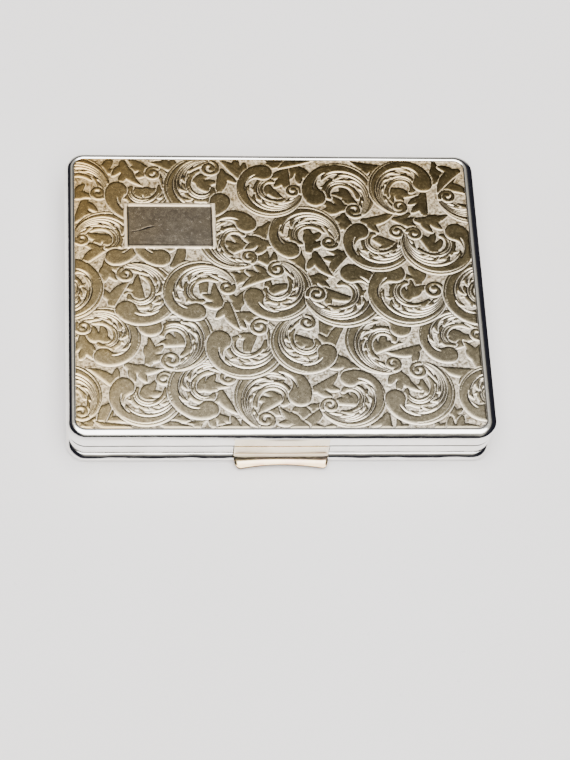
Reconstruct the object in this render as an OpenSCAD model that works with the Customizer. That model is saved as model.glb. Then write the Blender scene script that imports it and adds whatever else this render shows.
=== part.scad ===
/* [Case] */
// Width over the lid's rim
case_w = 95; // [75:1:140]
// Depth over the lid's rim, front to back
case_d = 77; // [64:1:120]
// Height of the base tray, from its flat underside to the parting line
base_h = 6.7; // [6.5:0.1:14]
// Height of the lid, from the parting line to the engraved face
lid_h = 4.9; // [4.6:0.1:12]
// Corner radius of the rim in plan
corner_r = 4.5; // [4:0.1:9]
// Thickness of the pressed sheet of the tray and of the lid's walls
sheet_t = 0.8; // [0.6:0.05:1.2]
// Radius of the tray's inner round, measured at its outer face
edge_r = 2.5; // [1.5:0.1:3]
// Radius of the roll round the tray's foot
roll_r = 1.15; // [0.9:0.05:1.2]
// How far the roll stands out of the walls
roll_out = 0.35; // [0.1:0.05:0.45]
// Gap between the closed lid and the base
parting_gap = 0.12; // [0.08:0.01:0.3]

/* [Lid rim] */
// Width of the rim in plan
rim_w = 2.1; // [1.6:0.1:2.6]
// Drop from the engraved face to the rim's lower edge
rim_drop = 1.35; // [1.25:0.05:2]
// Rise of the rim's crest over the engraved face
rim_rise = 0.2; // [0.05:0.05:0.4]
// How far the rim stands outside the walls
rim_overhang = 0.5; // [0.3:0.05:0.8]

/* [Lid plates] */
// Thickness of the engraved plate
plate_t = 0.6; // [0.4:0.05:0.8]
// Gap between the engraved plate and the rim
plate_gap = 0.1; // [0.05:0.01:0.2]
// Width of the ledge that carries the engraved plate
ledge_w = 0.8; // [0.5:0.1:1.4]
// Thickness of the ledge
ledge_t = 0.6; // [0.4:0.05:0.8]
// Thickness of the gilt liner under the engraved plate
liner_t = 0.4; // [0.3:0.05:0.6]
// Gap round the liner
liner_gap = 0.1; // [0.05:0.01:0.2]
// Width of the plain monogram field
field_w = 20; // [10:0.5:30]
// Depth of the plain monogram field
field_d = 11.4; // [6:0.2:16]
// Place of the field's centre left of the case's centre
field_left = 23.6; // [0:0.1:24]
// Place of the field's centre behind the case's centre
field_back = 17.7; // [0:0.1:20]
// Width of the line cut round the field
field_line = 0.35; // [0.2:0.05:0.6]
// Depth of the line cut round the field
field_cut = 0.12; // [0.05:0.01:0.2]

/* [Inner frame] */
// Thickness of the gilt frame that lines the base's walls
frame_t = 0.6; // [0.5:0.05:0.9]
// Height of the frame over the parting line
frame_rise = 0.8; // [0.4:0.1:1.2]
// Clearance between the raised frame and the lid's walls
frame_gap = 0.2; // [0.15:0.01:0.3]

/* [Hinge] */
// Length of the hinge
hinge_len = 60; // [40:1:70]
// Number of knuckles, shared between base and lid
knuckles = 5; // [3:2:9]
// Gap between knuckles, and at the hinge's ends
knuckle_gap = 0.15; // [0.1:0.01:0.3]
// Radius of the hinge pin
pin_r = 0.5; // [0.4:0.05:0.8]
// Wall of a knuckle round its bore
knuckle_t = 0.55; // [0.4:0.05:0.8]
// Radial clearance of every pin in its bore
pin_fit = 0.05; // [0.02:0.01:0.09]
// Place of the hinge axis outside the back wall
hinge_out = 0.3; // [0.1:0.05:0.8]
// Clearance round the knuckles in the walls' channel
swing_gap = 0.25; // [0.2:0.01:0.4]
// Thickness of the hinge leaves
leaf_t = 0.6; // [0.4:0.05:0.8]

/* [Catch] */
// Width of the catch plate
catch_w = 21; // [19:0.5:30]
// Thickness of the catch plate and of the plate over it
catch_t = 0.4; // [0.3:0.05:0.5]
// How far both plates stand out of the front wall
catch_proud = 0.22; // [0.1:0.01:0.3]
// Gap beside the catch plate in its window
catch_gap = 0.2; // [0.15:0.01:0.4]
// Room over the catch plate for its swing
catch_top_gap = 0.15; // [0.12:0.01:0.3]
// Height of the window's sill over the underside
sill_z = 1.9; // [1.6:0.1:2.2]
// Height of the bend over the flared lip
bend_z = 2.35; // [2.2:0.05:2.6]
// Height of the lip's edge
lip_z = 0.75; // [0.6:0.05:1]
// Reach of the lip in front of the plate
lip_out = 2.2; // [1.5:0.1:3]
// Depth of the thumb scallop in the lip's edge
scallop = 0.6; // [0.2:0.1:1]
// Radius of the lip's corners
lip_r = 1.2; // [0.6:0.1:2]
// Height of the catch's pivot
catch_pivot_z = 4.3; // [4:0.1:4.8]
// Wall of the catch's bearings round their bores
bearing_t = 0.35; // [0.3:0.05:0.4]
// Gap between the bearings' rounds and the back of the catch plate
bearing_gap = 0.02; // [0.02:0.01:0.1]
// Thickness of the hook strip and of the keeper
hook_t = 0.4; // [0.3:0.05:0.5]
// Clearance between the hook's nose and the keeper
hook_gap = 0.2; // [0.15:0.01:0.3]
// Height of the hook over the parting line
hook_rise = 2.5; // [2:0.1:2.6]

/* [Card retainer] */
// Depth of the bar that holds the cards down
bar_d = 6; // [4:0.5:10]
// Thickness of the retainer's sheet
bar_t = 0.5; // [0.4:0.05:0.6]
// Height of the bar's underside over the tray's floor
bar_rise = 4.35; // [4.2:0.05:5]
// Place of the bar's centre in front of the case's centre
bar_front = 6; // [0:0.5:12]
// Width of the retainer's side arms
arm_w = 2.5; // [2:0.1:4]
// Room between the side arms and the inner frame
arm_gap = 2.6; // [2.4:0.1:5]
// Distance of the retainer's pivot from the back wall's inner face
pivot_back = 7.2; // [6:0.1:12]
// Height of the retainer's pivot over the tray's floor
pivot_rise = 2.6; // [2.4:0.1:2.8]

/* [Springs] */
// Radius of the spring wire
wire_r = 0.13; // [0.1:0.01:0.15]
// Turns in each coil
turns = 8; // [4:1:10]

/* [Hidden] */
$fn = 64;

// Overcut that carries a cut cleanly past a face
over = 1;
// Overlap that joins two shapes of one solid
lap = 0.1;

// Plan of the walls, inside the rim's edge
wall_w = case_w - 2 * rim_overhang;
wall_d = case_d - 2 * rim_overhang;
wall_r = corner_r - rim_overhang;
inner_x = wall_w / 2 - sheet_t;
inner_y = wall_d / 2 - sheet_t;

// Heights
lid_z = base_h + parting_gap;
top_z = base_h + lid_h;
rim_z = top_z - rim_drop;
ledge_z = top_z - plate_t - ledge_t;
liner_z = ledge_z - liner_t;
frame_top = base_h + frame_rise;

// Hinge
bore_r = pin_r + pin_fit;
knuckle_r = bore_r + knuckle_t;
hinge_y = wall_d / 2 + hinge_out;
hinge_z = base_h + parting_gap / 2;
channel_r = knuckle_r + swing_gap;
knuckle_len = (hinge_len - (knuckles - 1) * knuckle_gap) / knuckles;
neck_low = bore_r - lap;
leaf_y = inner_y - leaf_t;
// Gap between a leaf's edge and the tray's round or the liner
leaf_gap = 0.1;

// Catch
front_y = -wall_d / 2;
catch_face_y = front_y - catch_proud;
catch_back_y = catch_face_y + catch_t;
catch_top = base_h - catch_top_gap;
bearing_r = bore_r + bearing_t;
catch_y = catch_back_y + bearing_r + bearing_gap;
bearing_in = 3;
bearing_len = 4;
ear_gap = 0.7;
ear_in = bearing_in + bearing_len + ear_gap;
ear_t = 1;
ear_out = ear_in + ear_t;
ear_foot_h = 1.4;
ear_bend_z = 3;
strap_t = 0.5;
strap_y = front_y + edge_r + 0.2;
strap_d = 2.1;
hook_y = catch_y + bearing_r - 0.3;
hook_top = base_h + hook_rise;
hook_band = 1.2;
nose_r = 0.25;
nose_z = hook_top - 0.4;
nose_y = hook_y + 0.05;
keeper_reach = nose_y - nose_r - hook_gap + inner_y;
keeper_z = lid_z + 0.8;
keeper_h = 0.8;

// Retainer
bar_z = sheet_t + bar_rise;
arm_x = inner_x - frame_t - arm_gap;
lug_t = 0.7;
pivot_y = inner_y - pivot_back;
pivot_z = sheet_t + pivot_rise;
eye_r = bore_r + 0.75;
side_gap = 0.3;
bracket_x = arm_x + side_gap;
bracket_t = 0.8;
foot_d = 2 * eye_r + 0.6;
foot_t = 0.5;
coil_x = arm_x - lug_t - side_gap;
coil_len = 2;
pin_head_t = 0.4;
pin_head_r = bore_r + 0.3;
pin_head_x = coil_x - coil_len - side_gap;
pin_tip_x = bracket_x + bracket_t + side_gap;
arm_back = pivot_y - 4.8;
lug_front = pivot_y - 11;
lug_back = pivot_y - 3;

// Spring wire wound round a shaft of pin_r
coil_r = pin_r + wire_r + 0.09;
steps_per_turn = 14;
wire_sides = 8;

// A plan with straight sides and round corners
module plan(w, d, r) {
    square([w - 2 * r, d], center = true);
    square([w, d - 2 * r], center = true);
    for (x = [-1, 1], y = [-1, 1])
        translate([x * (w / 2 - r), y * (d / 2 - r)]) circle(r);
}

// Turn that faces a quarter revolve towards its corner
function corner_turn(x, y) = y > 0 ? (x > 0 ? 0 : 90) : (x > 0 ? 270 : 180);

// Carries a section round a plan: x is 0 at the plan's edge and grows outward, y is height
module ring(w, d, r) {
    for (x = [-1, 1], y = [-1, 1])
        translate([x * (w / 2 - r), y * (d / 2 - r), 0])
            rotate([0, 0, corner_turn(x, y)])
                rotate_extrude(angle = 90) translate([r, 0]) children();
    for (turn = [0, 180])
        rotate([0, 0, turn]) translate([w / 2, 0, 0])
            rotate([90, 0, 0]) linear_extrude(d - 2 * r, center = true) children();
    for (turn = [90, 270])
        rotate([0, 0, turn]) translate([d / 2, 0, 0])
            rotate([90, 0, 0]) linear_extrude(w - 2 * r, center = true) children();
}

// Extrudes a profile drawn in Y and Z along X, about x = 0
module along_x(length) {
    rotate([90, 0, 90]) linear_extrude(length, center = true) children();
}

// Rectangle from one corner to the other, in Y and Z
module span(y0, z0, y1, z1) {
    translate([y0, z0]) square([y1 - y0, z1 - z0]);
}

// Wall of the base tray with the roll round its foot, and the start of its floor
module base_section() {
    roll_x = roll_out - roll_r;
    translate([-sheet_t, edge_r]) square([sheet_t, base_h - edge_r]);
    difference() {
        union() {
            translate([-edge_r, 0]) square([edge_r + roll_x, edge_r]);
            translate([roll_x, roll_r]) circle(roll_r);
            translate([roll_x - lap, roll_r]) square([lap - roll_x, edge_r - roll_r]);
        }
        translate([-edge_r, edge_r]) circle(edge_r - sheet_t);
    }
}

// Channel in the back walls that the knuckles turn in
module hinge_channel() {
    length = hinge_len + 2 * knuckle_gap;
    translate([-length / 2, leaf_y, hinge_z - channel_r])
        cube([length, hinge_y, 2 * channel_r]);
}

// Window in the base's front wall that the catch swings in
module catch_window() {
    width = catch_w + 2 * catch_gap;
    translate([-width / 2, front_y - over, sill_z])
        cube([width, over + sheet_t + 0.3, base_h]);
}

module base_shell() {
    color("silver") difference() {
        union() {
            linear_extrude(sheet_t)
                plan(wall_w - 2 * edge_r, wall_d - 2 * edge_r, wall_r - edge_r);
            ring(wall_w, wall_d, wall_r) base_section();
        }
        hinge_channel();
        catch_window();
    }
}

// Right half of the frame that lines the walls and stands over the parting line to guide the lid
module inner_frame() {
    hinge_half = hinge_len / 2 + knuckle_gap;
    window_half = max(ear_out + 0.3, catch_w / 2 + catch_gap + 0.2);
    color("goldenrod") difference() {
        ring(wall_w, wall_d, wall_r) {
            translate([-sheet_t - frame_t, edge_r]) square([frame_t, base_h - edge_r]);
            translate([-sheet_t - frame_t, edge_r])
                square([frame_t - frame_gap, frame_top - edge_r]);
        }
        translate([hinge_half - case_w, 0, 0]) cube([case_w, case_d, top_z]);
        translate([window_half - case_w, -case_d, 0]) cube([case_w, case_d, top_z]);
    }
}

// Middle of knuckle i along the hinge
function knuckle_x(i) = (i - (knuckles - 1) / 2) * (knuckle_len + knuckle_gap);

// A leaf that hangs from its knuckles: first is 0 or 1, drop is the leaf's reach from the axis
module leaf(first, drop) {
    translate([0, 0, hinge_z]) {
        along_x(hinge_len) span(leaf_y, -drop, inner_y, -channel_r);
        for (i = [first:2:knuckles - 1])
            translate([knuckle_x(i), 0, 0]) along_x(knuckle_len) difference() {
                union() {
                    translate([hinge_y, 0]) circle(knuckle_r);
                    span(leaf_y, -knuckle_r, hinge_y, -neck_low);
                    span(leaf_y, -channel_r - lap, inner_y, -neck_low);
                }
                translate([hinge_y, 0]) circle(bore_r);
            }
    }
}

module base_hinge_leaf() {
    color("goldenrod") leaf(0, hinge_z - edge_r - leaf_gap);
}

module lid_hinge_leaf() {
    color("goldenrod") translate([0, 0, 2 * hinge_z]) mirror([0, 0, 1])
        leaf(1, liner_z - hinge_z - leaf_gap);
}

module hinge_pin() {
    color("dimgray") translate([0, hinge_y, hinge_z])
        along_x(hinge_len) circle(pin_r);
}

// Round rim of the lid: a quarter circle outside, upright inside
module rim_section() {
    crest = rim_drop + rim_rise;
    translate([-rim_w, rim_z]) square([rim_w - crest, crest]);
    intersection() {
        translate([-crest, rim_z]) circle(crest);
        translate([-crest, rim_z]) square(crest);
    }
}

// Wall, ledge and rim of the lid, with room for the liner inside the walls and under the ledge
module lid_section() {
    wall_in = rim_overhang + sheet_t;
    translate([-wall_in, lid_z]) square([sheet_t, top_z - plate_t - lid_z]);
    translate([-rim_w - ledge_w, ledge_z])
        square([rim_w + ledge_w - rim_overhang, ledge_t]);
    difference() {
        rim_section();
        translate([-wall_in - rim_w, lid_z]) square([rim_w, ledge_z - lid_z]);
    }
}

// Shallow pocket that the keeper plate is let into
module keeper_pocket() {
    translate([-catch_w / 2, front_y - over, lid_z - over])
        cube([catch_w, over + catch_t - catch_proud, rim_z - lid_z + over]);
}

module lid_frame() {
    color("silver") difference() {
        ring(case_w, case_d, corner_r) lid_section();
        hinge_channel();
        keeper_pocket();
    }
}

// Fine line cut round the plain monogram field
module field_groove() {
    translate([-field_left, field_back, top_z - field_cut]) linear_extrude(over)
        difference() {
            square([field_w, field_d], center = true);
            square([field_w - 2 * field_line, field_d - 2 * field_line], center = true);
        }
}

module engraved_plate() {
    inset = rim_w + plate_gap;
    color("tan") difference() {
        translate([0, 0, top_z - plate_t]) linear_extrude(plate_t)
            plan(case_w - 2 * inset, case_d - 2 * inset, corner_r - inset);
        field_groove();
    }
}

module lid_liner() {
    inset = sheet_t + liner_gap;
    color("gold") translate([0, 0, liner_z]) linear_extrude(liner_t)
        plan(wall_w - 2 * inset, wall_d - 2 * inset, wall_r - inset);
}

// Plate let into the lid's front wall, over the catch
module keeper_plate() {
    color("wheat") along_x(catch_w) span(catch_face_y, lid_z, catch_back_y, rim_z);
}

// Strip inside the lid's front wall that the hook takes hold of
module keeper_strip() {
    color("goldenrod") along_x(2 * (bearing_in + bearing_len))
        span(-inner_y, keeper_z, -inner_y + keeper_reach, keeper_z + keeper_h);
}

// Upright plate with a flared lip at its foot, of one thickness round the bend
module catch_profile() {
    lip_drop = bend_z - lip_z;
    flare = atan2(lip_out, lip_drop);
    polygon([
        [catch_face_y, catch_top],
        [catch_face_y, bend_z],
        [catch_face_y - lip_out, lip_z],
        [catch_face_y - lip_out + catch_t * cos(flare), lip_z - catch_t * sin(flare)],
        [catch_back_y, bend_z - catch_t * tan(flare / 2)],
        [catch_back_y, catch_top]
    ]);
}

module catch_plate() {
    reach = catch_t + lip_out;
    bow = (pow(catch_w / 2 - lip_r, 2) + scallop * scallop) / (2 * scallop);
    color("wheat") difference() {
        intersection() {
            along_x(catch_w) catch_profile();
            translate([0, catch_face_y - lip_out + 2 * reach, 0])
                linear_extrude(base_h) plan(catch_w, 4 * reach, lip_r);
        }
        translate([0, catch_face_y - lip_out + scallop - bow, 0])
            cylinder(r = bow, h = 2 * bend_z, center = true, $fn = 96);
    }
}

// Bearings and hook on the back of the catch plate
module catch_lever() {
    middle = bearing_in + bearing_len / 2;
    color("goldenrod") {
        for (side = [-1, 1])
            translate([side * middle, 0, 0]) along_x(bearing_len) difference() {
                union() {
                    translate([catch_y, catch_pivot_z]) circle(bearing_r);
                    span(catch_back_y, catch_pivot_z - bearing_r, catch_y, catch_pivot_z + bearing_r);
                    span(hook_y, catch_pivot_z, hook_y + hook_t, hook_top);
                }
                translate([catch_y, catch_pivot_z]) circle(bore_r);
            }
        along_x(2 * (bearing_in + bearing_len)) {
            span(hook_y, hook_top - hook_band, hook_y + hook_t, hook_top);
            translate([nose_y, nose_z]) circle(nose_r);
        }
    }
}

// Ear of the catch's bracket, over the round between floor and wall
module ear_profile() {
    polygon([
        [strap_y + strap_d, sheet_t],
        [strap_y, sheet_t],
        [catch_y, ear_bend_z],
        [catch_y + eye_r, catch_pivot_z],
        [strap_y + strap_d, sheet_t + ear_foot_h]
    ]);
    translate([catch_y, catch_pivot_z]) circle(bearing_r);
    span(catch_y, ear_bend_z, catch_y + bearing_r, catch_pivot_z);
}

module catch_bracket() {
    color("goldenrod") {
        for (side = [-1, 1])
            translate([side * (ear_in + ear_t / 2), 0, 0]) along_x(ear_t) difference() {
                ear_profile();
                translate([catch_y, catch_pivot_z]) circle(bore_r);
            }
        along_x(2 * ear_out)
            span(strap_y, sheet_t, strap_y + strap_d, sheet_t + strap_t);
    }
}

module catch_pin() {
    color("dimgray") translate([0, catch_y, catch_pivot_z])
        along_x(2 * ear_out + 0.4) circle(pin_r);
}

// Ring of points round one station of a wire, from its outward side and its direction
function wire_ring(at, out, along) =
    let (side = cross(along, out))
    [for (k = [0:wire_sides - 1])
        let (a = 360 * k / wire_sides)
        at + wire_r * (cos(a) * out + sin(a) * side)];

// Round wire through a list of stations, each [point, outward side, direction]
module wire(stations) {
    last = len(stations) - 1;
    points = [for (s = stations) each wire_ring(s[0], s[1], s[2])];
    walls = [for (i = [0:last - 1], k = [0:wire_sides - 1])
        let (a = i * wire_sides, b = (k + 1) % wire_sides)
        [a + k, a + b, a + wire_sides + b, a + wire_sides + k]];
    start = [for (k = [wire_sides - 1:-1:0]) k];
    end = [for (k = [0:wire_sides - 1]) last * wire_sides + k];
    polyhedron(points, concat([start, end], walls));
}

// Direction of a coil about X at an angle, and the side that faces out of the coil
function coil_out(a) = [0, cos(a), sin(a)];
function coil_along(a) = [0, -sin(a), cos(a)];

// Stations of a torsion spring: a leg, a coil from one angle to the other, and a leg
function torsion_spring(length, from, to, leg_in, leg_out) =
    let (count = round(steps_per_turn * (to - from) / 360))
    concat(
        [[[-length / 2, 0, 0] + coil_r * coil_out(from) - leg_in * coil_along(from),
            coil_out(from), coil_along(from)]],
        [for (i = [0:count])
            let (a = from + (to - from) * i / count)
            [[length * (i / count - 0.5), 0, 0] + coil_r * coil_out(a),
                coil_out(a), coil_along(a)]],
        [[[length / 2, 0, 0] + coil_r * coil_out(to) + leg_out * coil_along(to),
            coil_out(to), coil_along(to)]]
    );

// Length of a leg that climbs or drops by a height, leaving its coil at an angle
function leg_length(height, angle) = height / cos(angle);

module catch_spring() {
    start = 35;
    finish = 360 * turns - 7;
    floor_gap = 0.4;
    drop = catch_pivot_z + coil_r * sin(start) - sheet_t - strap_t - wire_r - floor_gap;
    rise = nose_z - catch_pivot_z;
    color("gray") translate([0, catch_y, catch_pivot_z])
        wire(torsion_spring(1.6 * bearing_in, start, finish, leg_length(drop, start), rise));
}

// Sheet that lies over the cards, with lugs that turn on the pivots
module retainer_bar() {
    bar_y = -bar_front - bar_d / 2;
    color("goldenrod") {
        translate([-arm_x, bar_y, bar_z]) cube([2 * arm_x, bar_d, bar_t]);
        for (side = [-1, 1]) {
            translate([side * (arm_x - arm_w / 2), 0, 0])
                along_x(arm_w) span(bar_y, bar_z, arm_back, bar_z + bar_t);
            translate([side * (arm_x - lug_t / 2), 0, 0]) along_x(lug_t) difference() {
                union() {
                    translate([pivot_y, pivot_z]) circle(eye_r);
                    polygon([
                        [lug_front, bar_z],
                        [lug_front, bar_z + bar_t],
                        [lug_back, bar_z + bar_t],
                        [pivot_y + eye_r * cos(60), pivot_z + eye_r * sin(60)],
                        [pivot_y - eye_r * cos(60), pivot_z - eye_r * sin(60)]
                    ]);
                }
                translate([pivot_y, pivot_z]) circle(bore_r);
            }
        }
    }
}

// Foot and ear that carry one pivot of the retainer, on the right-hand side
module retainer_bracket() {
    foot_x = coil_x - coil_len;
    foot_w = bracket_x + bracket_t - foot_x;
    color("goldenrod") {
        translate([foot_x, pivot_y - foot_d / 2, sheet_t]) cube([foot_w, foot_d, foot_t]);
        translate([bracket_x + bracket_t / 2, 0, 0]) along_x(bracket_t) difference() {
            union() {
                translate([pivot_y, pivot_z]) circle(eye_r);
                span(pivot_y - eye_r, sheet_t, pivot_y + eye_r, pivot_z);
            }
            translate([pivot_y, pivot_z]) circle(bore_r);
        }
    }
}

// Headed pin of the retainer, on the right-hand side
module retainer_pin() {
    length = pin_tip_x - pin_head_x;
    color("dimgray") {
        translate([pin_head_x + length / 2, pivot_y, pivot_z]) along_x(length) circle(pin_r);
        translate([pin_head_x - pin_head_t / 2, pivot_y, pivot_z])
            along_x(pin_head_t) circle(pin_head_r);
    }
}

// Spring that lifts the retainer, on the right-hand side
module retainer_spring() {
    start = 20;
    finish = 360 * round(turns / 2) + 82;
    end_gap = 0.05;
    drop = pivot_z + coil_r * sin(start) - sheet_t - foot_t - wire_r - end_gap;
    lift = bar_z - pivot_z - wire_r - end_gap - coil_r * sin(finish);
    color("gray") translate([coil_x - coil_len / 2, pivot_y, pivot_z])
        wire(torsion_spring(0.8 * coil_len, start, finish,
            leg_length(drop, start), leg_length(lift, finish)));
}

module inner_frame_right() inner_frame();
module inner_frame_left() mirror([1, 0, 0]) inner_frame();
module retainer_bracket_right() retainer_bracket();
module retainer_bracket_left() mirror([1, 0, 0]) retainer_bracket();
module retainer_pin_right() retainer_pin();
module retainer_pin_left() mirror([1, 0, 0]) retainer_pin();
module retainer_spring_right() retainer_spring();
module retainer_spring_left() mirror([1, 0, 0]) retainer_spring();

base_shell();
inner_frame_left();
inner_frame_right();
base_hinge_leaf();
hinge_pin();
catch_bracket();
catch_pin();
catch_spring();
retainer_bracket_left();
retainer_bracket_right();
retainer_pin_left();
retainer_pin_right();
retainer_spring_left();
retainer_spring_right();
lid_frame();
engraved_plate();
lid_liner();
lid_hinge_leaf();
keeper_plate();
keeper_strip();
catch_plate();
catch_lever();
retainer_bar();
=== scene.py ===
import math

import bmesh
import bpy
import numpy as np
from mathutils import Matrix, Vector

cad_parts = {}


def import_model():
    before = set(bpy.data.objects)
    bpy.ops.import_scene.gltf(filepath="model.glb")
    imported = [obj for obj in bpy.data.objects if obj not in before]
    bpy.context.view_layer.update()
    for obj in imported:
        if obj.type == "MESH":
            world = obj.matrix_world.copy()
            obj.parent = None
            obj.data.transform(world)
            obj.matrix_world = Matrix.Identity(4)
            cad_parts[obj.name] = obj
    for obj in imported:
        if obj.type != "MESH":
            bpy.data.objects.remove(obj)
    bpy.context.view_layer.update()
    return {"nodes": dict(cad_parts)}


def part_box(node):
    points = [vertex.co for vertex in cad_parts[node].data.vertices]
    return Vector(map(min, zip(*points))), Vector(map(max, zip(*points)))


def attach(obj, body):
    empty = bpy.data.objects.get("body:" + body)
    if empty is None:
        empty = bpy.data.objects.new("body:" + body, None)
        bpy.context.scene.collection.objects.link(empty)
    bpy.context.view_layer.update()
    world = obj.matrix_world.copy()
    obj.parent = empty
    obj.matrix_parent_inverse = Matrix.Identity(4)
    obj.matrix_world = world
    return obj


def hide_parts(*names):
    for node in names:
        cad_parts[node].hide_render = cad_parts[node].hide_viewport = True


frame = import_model()

MM = 0.001                      # sizes below are in millimetres, and meshes are in metres
NODES = frame["nodes"]


def box_mm(node):
    """Lowest and highest corner of a CAD node, in millimetres."""
    lo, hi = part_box(node)
    return np.array(lo) / MM, np.array(hi) / MM


# ---------------------------------------------------------------- sizes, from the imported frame

RIM_LO, RIM_HI = box_mm("lid_frame")
TRAY_LO, TRAY_HI = box_mm("base_shell")
PLATE_LO, PLATE_HI = box_mm("engraved_plate")
LINER_LO, LINER_HI = box_mm("lid_liner")
KEEPER_LO, KEEPER_HI = box_mm("keeper_plate")
CATCH_LO, CATCH_HI = box_mm("catch_plate")

CASE_W = RIM_HI[0] - RIM_LO[0]
CASE_D = -2 * RIM_LO[1]
OVERHANG = 0.5                  # how far the rim stands outside the walls
WALL_W = CASE_W - 2 * OVERHANG
WALL_D = CASE_D - 2 * OVERHANG
ROLL_R = 1.15                   # round of the roll at the tray's foot
ROLL_OUT = (TRAY_HI[0] - TRAY_LO[0] - WALL_W) / 2
CORNER_R = 4.5
WALL_R = CORNER_R - OVERHANG
SHEET = 0.8                     # thickness of the pressed sheet
EDGE_R = 2.5                    # round of the tray's lower edge
TRAY_TOP = TRAY_HI[2]
LID_FOOT = RIM_LO[2]
CREST_Z = RIM_HI[2]
FACE_Z = PLATE_HI[2]
RIM_FOOT = KEEPER_HI[2]
RIM_W = (CASE_W - (PLATE_HI[0] - PLATE_LO[0])) / 2 - 0.1
LEDGE_LO = LINER_HI[2]
LEDGE_HI = PLATE_LO[2]
HINGE_Z = 6.76                  # height of the hinge's axis
CHANNEL_END = 30.15             # half the length of the hinge's channel
CHANNEL_IN = WALL_D / 2 - SHEET - 0.6
CHANNEL_OUT = WALL_D / 2 + 3
CHANNEL_UP = 1.35               # how far the channel reaches over the axis, in the lid
CHANNEL_DOWN = 1.37             # how far it reaches under the axis, in the tray
OVER_TRAY = 9.0                 # where cutters end that run out of the tray's top
RIM_FALL = 1.4                  # about how far the rim's round falls below its crest


# ---------------------------------------------------------------- mesh helpers

def finish_piece(obj, material, body, nodes, sharp=35):
    """Smooth shading with sharp creases, a material, and the piece's place in the frame."""
    mesh = obj.data
    mesh.shade_smooth()
    mesh.set_sharp_from_angle(angle=math.radians(sharp))
    mesh.materials.clear()
    mesh.materials.append(material)
    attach(obj, body)
    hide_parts(*nodes)
    return obj


def new_object(name, points, faces):
    """A mesh object from points in millimetres, with its normals facing out."""
    mesh = bpy.data.meshes.new(name)
    mesh.from_pydata((np.asarray(points, float) * MM).tolist(), [], faces)
    bm = bmesh.new()
    bm.from_mesh(mesh)
    bmesh.ops.recalc_face_normals(bm, faces=bm.faces)
    bm.to_mesh(mesh)
    bm.free()
    mesh.update()
    obj = bpy.data.objects.new(name, mesh)
    bpy.context.scene.collection.objects.link(obj)
    return obj


def block(name, lo, hi):
    """A plain box, used only as a cutter."""
    points = [(x, y, z) for x in (lo[0], hi[0]) for y in (lo[1], hi[1]) for z in (lo[2], hi[2])]
    faces = [(0, 1, 3, 2), (4, 6, 7, 5), (0, 4, 5, 1), (2, 3, 7, 6), (0, 2, 6, 4), (1, 5, 7, 3)]
    return new_object(name, points, faces)


def apply_modifiers(obj):
    graph = bpy.context.evaluated_depsgraph_get()
    graph.update()
    mesh = bpy.data.meshes.new_from_object(obj.evaluated_get(graph))
    obj.modifiers.clear()
    obj.data = mesh


def cut(obj, cutters):
    """Takes boxes out of a piece, each given by its two corners."""
    for lo, hi in cutters:
        tool = block("cutter", lo, hi)
        modifier = obj.modifiers.new("cut", "BOOLEAN")
        modifier.operation = "DIFFERENCE"
        modifier.solver = "EXACT"
        modifier.object = tool
        apply_modifiers(obj)
        bpy.data.objects.remove(tool)


def bevel(obj, width, segments=2, angle=40):
    """Breaks the sharp edges of a piece."""
    modifier = obj.modifiers.new("bevel", "BEVEL")
    modifier.width = width * MM
    modifier.segments = segments
    modifier.limit_method = "ANGLE"
    modifier.angle_limit = math.radians(angle)
    apply_modifiers(obj)


def ring(w, d, r, inset, z, corner_steps=16, side_steps=90):
    """Points of a rectangle with round corners, inset from a plan, at one height."""
    rad = max(r - inset, 0.4)
    cx, cy = w / 2 - inset - rad, d / 2 - inset - rad
    out = []
    for sx, sy, start in ((1, 1, 0), (-1, 1, 90), (-1, -1, 180), (1, -1, 270)):
        a = np.radians(start + np.linspace(0, 90, corner_steps + 1))
        out.append(np.stack([sx * cx + rad * np.cos(a), sy * cy + rad * np.sin(a)], -1))
    loop = []
    for here, after in zip(out, out[1:] + out[:1]):
        t = np.linspace(0, 1, side_steps + 1)[1:-1, None]
        loop += [here, here[-1] + (after[0] - here[-1]) * t]
    loop = np.vstack(loop)
    return np.column_stack([loop, np.full(len(loop), z)])


def loft(name, w, d, r, section, closed, shift=None):
    """Carries a section of (inset, height) points round a plan. An open section is capped at both ends."""
    rings = [ring(w, d, r, inset, z) for inset, z in section]
    if shift:
        rings = [shift(p) for p in rings]
    n, m = len(rings), len(rings[0])
    faces = []
    for i in range(n if closed else n - 1):
        a, b = i * m, (i + 1) % n * m
        faces += [(a + k, a + (k + 1) % m, b + (k + 1) % m, b + k) for k in range(m)]
    if not closed:
        faces += [tuple(range(m)), tuple(range((n - 1) * m, n * m))]
    return new_object(name, np.vstack(rings), faces)


def grid_faces(ny, nx):
    """Faces of a grid of points, and the points along its edge in order."""
    index = np.arange(ny * nx).reshape(ny, nx)
    quads = np.stack([index[:-1, :-1], index[:-1, 1:], index[1:, 1:], index[1:, :-1]], -1)
    rim = np.concatenate([index[0, :-1], index[:-1, -1], index[-1, :0:-1], index[:0:-1, 0]])
    return quads.reshape(-1, 4), rim


def sheet(name, front, back):
    """A closed sheet between two grids of the same size."""
    quads, rim = grid_faces(*front.shape[:2])
    count = front[..., 0].size
    after = np.roll(rim, -1)
    walls = np.stack([rim, rim + count, after + count, after], -1)
    faces = np.vstack([quads, quads[:, ::-1] + count, walls]).tolist()
    return new_object(name, np.vstack([front.reshape(-1, 3), back.reshape(-1, 3)]), faces)


def arc(cx, cz, rx, rz, start, end, steps):
    """Points of an elliptical arc in a section, from one angle to the other."""
    return [(cx + rx * math.cos(math.radians(a)), cz + rz * math.sin(math.radians(a)))
            for a in np.linspace(start, end, steps)]


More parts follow.
